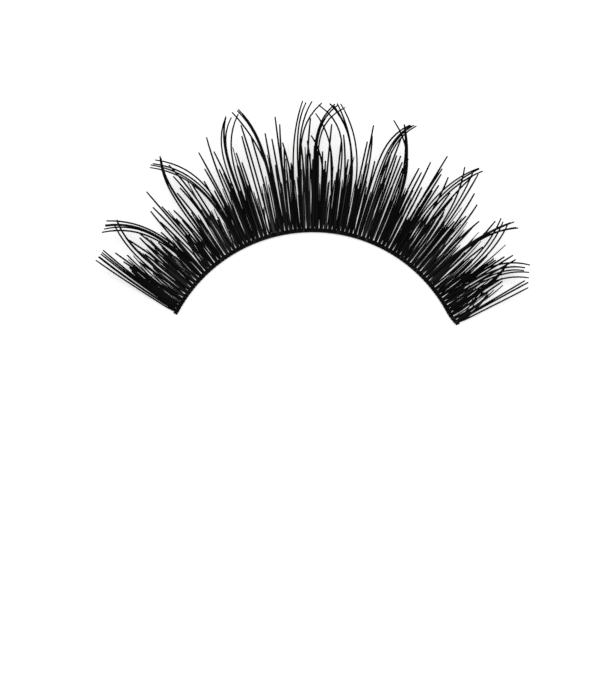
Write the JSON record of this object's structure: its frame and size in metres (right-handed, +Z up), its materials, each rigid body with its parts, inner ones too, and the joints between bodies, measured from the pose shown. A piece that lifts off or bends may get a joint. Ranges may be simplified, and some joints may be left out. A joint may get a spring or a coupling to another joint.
{
  "type": "false eyelash strip",
  "caption": "Strip of black false lashes on a curved thread band, with a dense short fringe and long bundles that cross in pairs.",
  "frame": {"origin": "middle of the band's underside, on the face that rests on a table and takes the lash glue", "axes": "+X along the strip, +Y from the middle of the band out to the lash tips, +Z up, the way the tips curl"},
  "size_m": [0.0431, 0.0214, 0.0048],
  "materials": {
    "thread": "black cotton thread, knotted and sized",
    "lash_fibre": "black synthetic fibre with a soft sheen"
  },
  "bodies": {
    "root": {"band": "thread", "short_lashes": "lash_fibre", "end_lashes_left": "lash_fibre", "cross_lashes_1a": "lash_fibre", "cross_lashes_1b": "lash_fibre", "cross_lashes_2a": "lash_fibre", "cross_lashes_2b": "lash_fibre", "cross_lashes_3a": "lash_fibre", "cross_lashes_3b": "lash_fibre", "cross_lashes_4a": "lash_fibre", "cross_lashes_4b": "lash_fibre", "cross_lashes_5a": "lash_fibre", "cross_lashes_5b": "lash_fibre", "cross_lashes_6a": "lash_fibre", "cross_lashes_6b": "lash_fibre", "cross_lashes_7a": "lash_fibre", "cross_lashes_7b": "lash_fibre", "cross_lashes_8a": "lash_fibre", "cross_lashes_8b": "lash_fibre", "cross_lashes_9a": "lash_fibre", "cross_lashes_9b": "lash_fibre", "end_lashes_right": "lash_fibre"}
  },
  "joints": []
}
